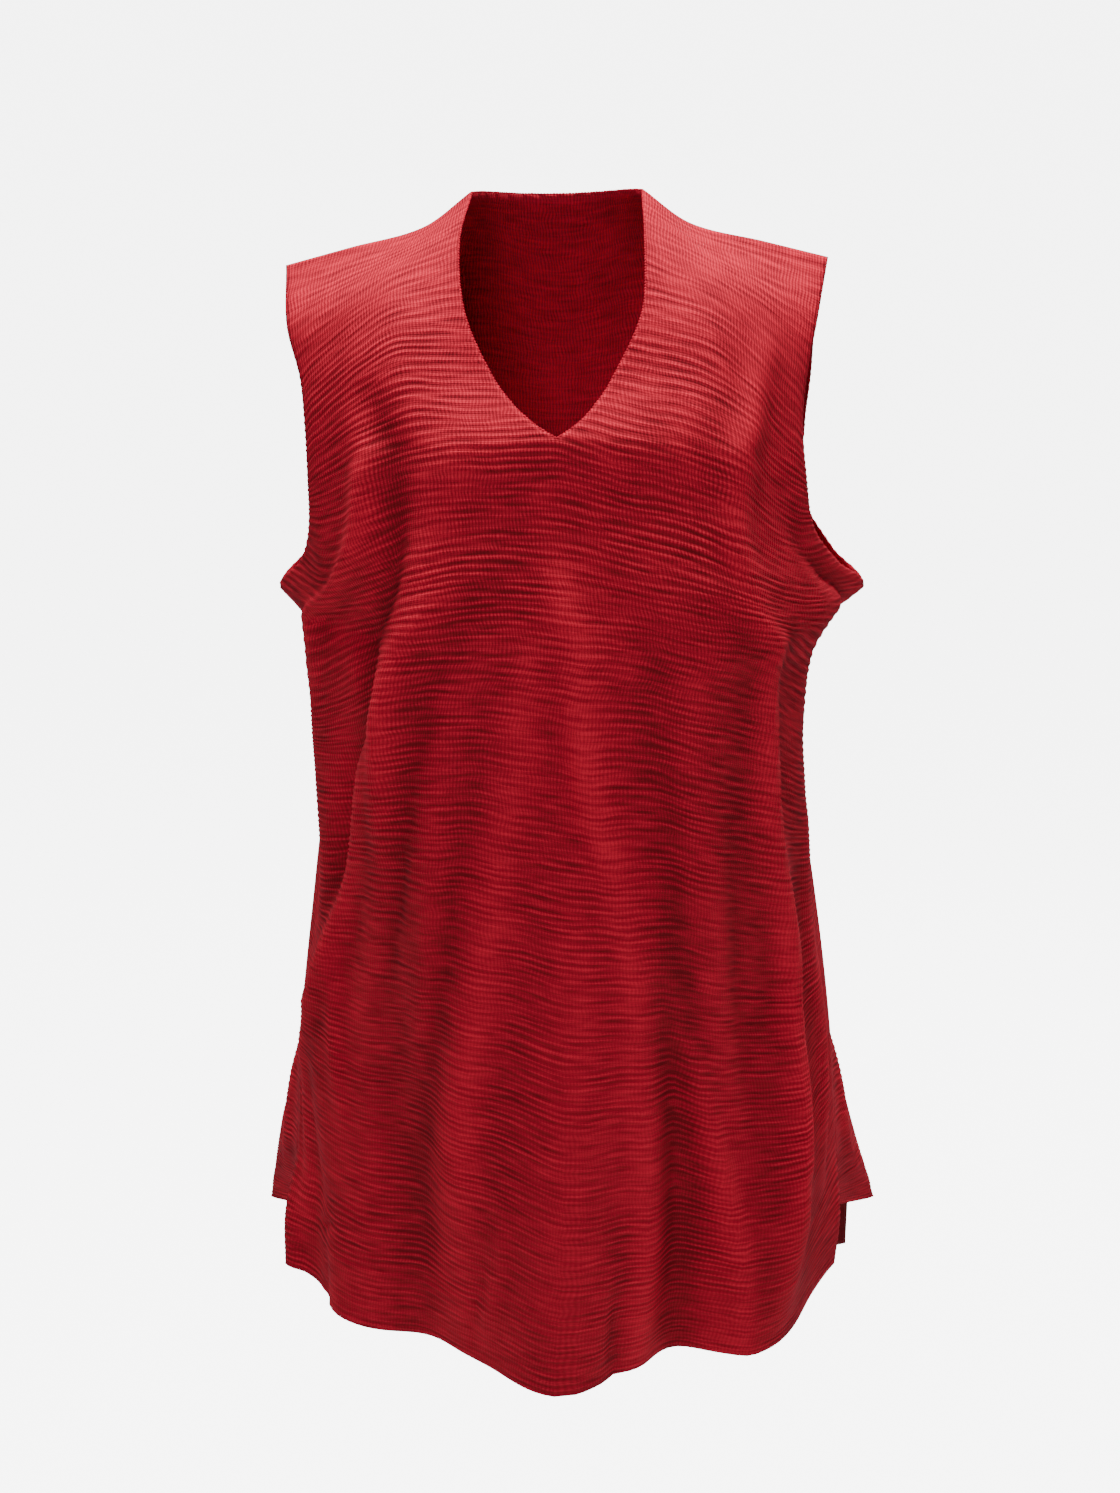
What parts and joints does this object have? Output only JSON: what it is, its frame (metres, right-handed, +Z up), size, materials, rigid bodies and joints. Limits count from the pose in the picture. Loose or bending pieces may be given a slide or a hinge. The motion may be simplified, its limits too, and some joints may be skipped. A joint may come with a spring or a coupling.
{
  "type": "blouse",
  "caption": "Sleeveless V-neck tunic blouse in crinkle rib knit, in its hollow worn form, with a neckline grown into a low stand, side vents and a deep turned-up hem.",
  "frame": {"origin": "midway between the shoulders, at the height where the wearer's shoulders carry the garment", "axes": "+Z up, the front faces -Y, +X to the wearer's left"},
  "size_m": [0.4812, 0.2934, 0.8109],
  "materials": {
    "knit": "matt red rib knit with irregular crosswise ripples",
    "knit_inside": "wrong side of the same red knit, turned in"
  },
  "bodies": {
    "root": {"front_panel": "knit", "back_panel": "knit", "front_hem": "knit_inside", "back_hem": "knit_inside", "front_vent_right": "knit_inside", "back_vent_right": "knit_inside", "front_vent_left": "knit_inside", "back_vent_left": "knit_inside"}
  },
  "joints": []
}
